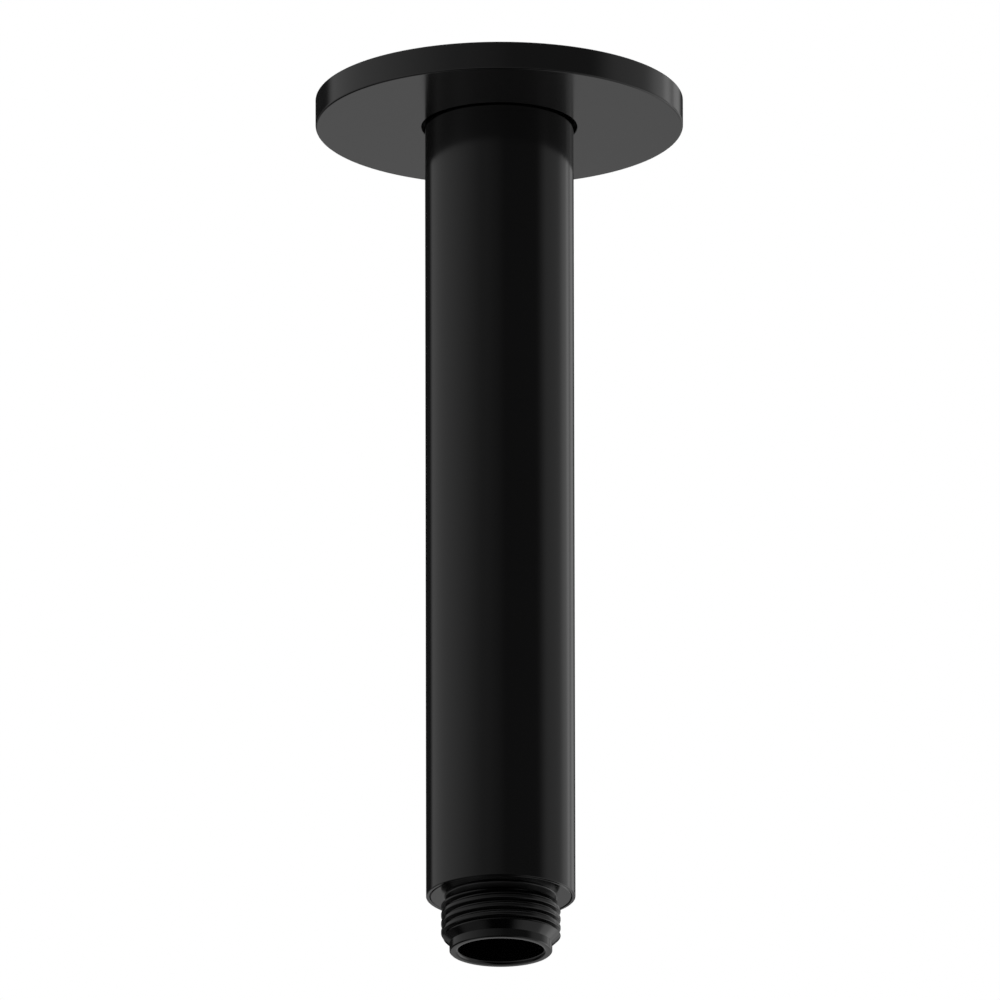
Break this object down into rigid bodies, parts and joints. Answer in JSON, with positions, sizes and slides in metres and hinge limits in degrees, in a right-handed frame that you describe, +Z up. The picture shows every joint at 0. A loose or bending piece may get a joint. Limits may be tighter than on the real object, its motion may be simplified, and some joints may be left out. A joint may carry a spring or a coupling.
{
  "type": "ceiling shower arm",
  "caption": "Straight ceiling shower arm in satin black: a round drop tube with a threaded socket above, a male threaded outlet below and a loose round cover flange.",
  "frame": {"origin": "centre of the ceiling plane, where the mouth of the inlet socket and the flange's back rim lie", "axes": "+Z up along the tube's axis, into the ceiling; the arm hangs along -Z; X and Y are equal"},
  "size_m": [0.0644, 0.0644, 0.1562],
  "materials": {
    "black_coat": "satin",
    "black_coat_turned": "satin",
    "seal_rubber": "matte"
  },
  "bodies": {
    "arm": {"tube": "black_coat", "outlet_nipple": "black_coat_turned", "inlet_socket": "black_coat_turned"},
    "cover": {"flange": "black_coat", "flange_o_ring": "seal_rubber"}
  },
  "joints": [
    {"name": "flange_slide", "type": "slide", "parent": "arm", "child": "cover", "axis": [0, 0, 1], "range_m": [-0.141, 0]}
  ]
}
